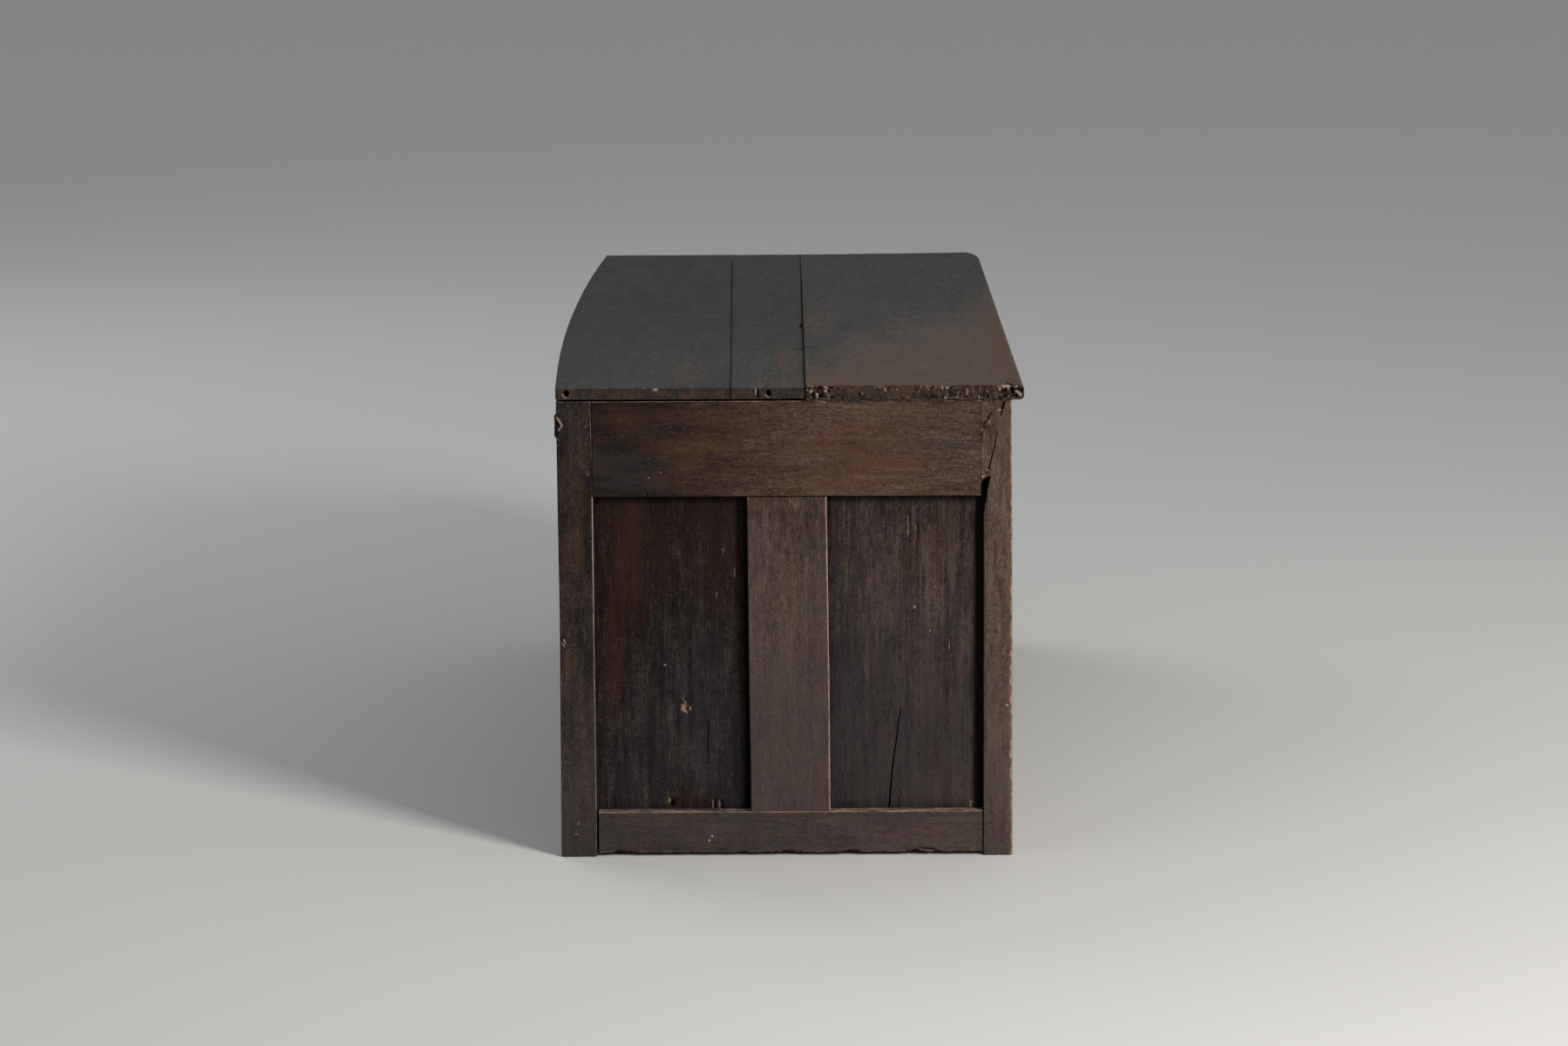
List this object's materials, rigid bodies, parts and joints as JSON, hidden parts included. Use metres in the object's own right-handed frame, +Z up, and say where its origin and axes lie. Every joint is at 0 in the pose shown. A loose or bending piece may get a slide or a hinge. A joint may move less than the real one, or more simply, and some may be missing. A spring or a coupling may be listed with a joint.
{
  "type": "blanket chest",
  "caption": "Low rectangular wooden storage chest with pegged frame-and-panel sides on stub feet and a flat plank lid hinged at the back",
  "frame": {"origin": "on the floor, under the middle of the whole chest's box", "axes": "+X along the chest to its right end as seen from the front, -Y out of the front, +Y out of the hinged back, +Z up"},
  "size_m": [1.21, 0.5736, 0.5853],
  "materials": {
    "frame_oak": "old dark oak, worn and waxed",
    "panel_oak": "old dark oak, dull",
    "lid_oak": "old dark oak, rubbed smooth on top",
    "inside_pine": "unfinished softwood, aged",
    "peg_oak": "cleft oak end grain",
    "wrought_iron": "hand-forged, dark, lightly rusted"
  },
  "bodies": {
    "chest": {"floor_bearer": "inside_pine", "floor_board_1": "inside_pine", "floor_board_2": "inside_pine", "floor_board_3": "inside_pine", "floor_board_4": "inside_pine", "floor_nails": "wrought_iron", "front_bottom_rail": "frame_oak", "front_left_post": "frame_oak", "front_muntin_1": "frame_oak", "front_muntin_2": "frame_oak", "front_panel_1": "panel_oak", "front_panel_2": "panel_oak", "front_panel_3": "panel_oak", "front_pegs": "peg_oak", "front_right_post": "frame_oak", "front_top_rail": "frame_oak", "leaf_nails": "wrought_iron", "left_end_bottom_rail": "frame_oak", "left_end_muntin": "frame_oak", "left_end_panel_front": "panel_oak", "left_end_panel_rear": "panel_oak", "left_end_pegs": "peg_oak", "left_end_top_rail": "frame_oak", "left_hinge_leaf": "wrought_iron", "left_hinge_pin": "wrought_iron", "rear_bottom_rail": "frame_oak", "rear_left_post": "frame_oak", "rear_muntin_1": "frame_oak", "rear_muntin_2": "frame_oak", "rear_panel_1": "panel_oak", "rear_panel_2": "panel_oak", "rear_panel_3": "panel_oak", "rear_pegs": "peg_oak", "rear_right_post": "frame_oak", "rear_top_rail": "frame_oak", "right_end_bottom_rail": "frame_oak", "right_end_muntin": "frame_oak", "right_end_panel_front": "panel_oak", "right_end_panel_rear": "panel_oak", "right_end_pegs": "peg_oak", "right_end_top_rail": "frame_oak", "right_hinge_leaf": "wrought_iron", "right_hinge_pin": "wrought_iron"},
    "lid": {"batten_nails": "wrought_iron", "left_hinge_strap": "wrought_iron", "lid_batten_left": "lid_oak", "lid_batten_right": "lid_oak", "lid_board_front": "lid_oak", "lid_board_middle": "lid_oak", "lid_board_rear": "lid_oak", "right_hinge_strap": "wrought_iron", "strap_nails": "wrought_iron"}
  },
  "joints": [
    {"name": "lid_hinge", "type": "hinge", "parent": "chest", "child": "lid", "pos_m": [0, 0.2817, 0.56374], "axis": [-1, 0, 0], "range_deg": [0, 100]}
  ]
}
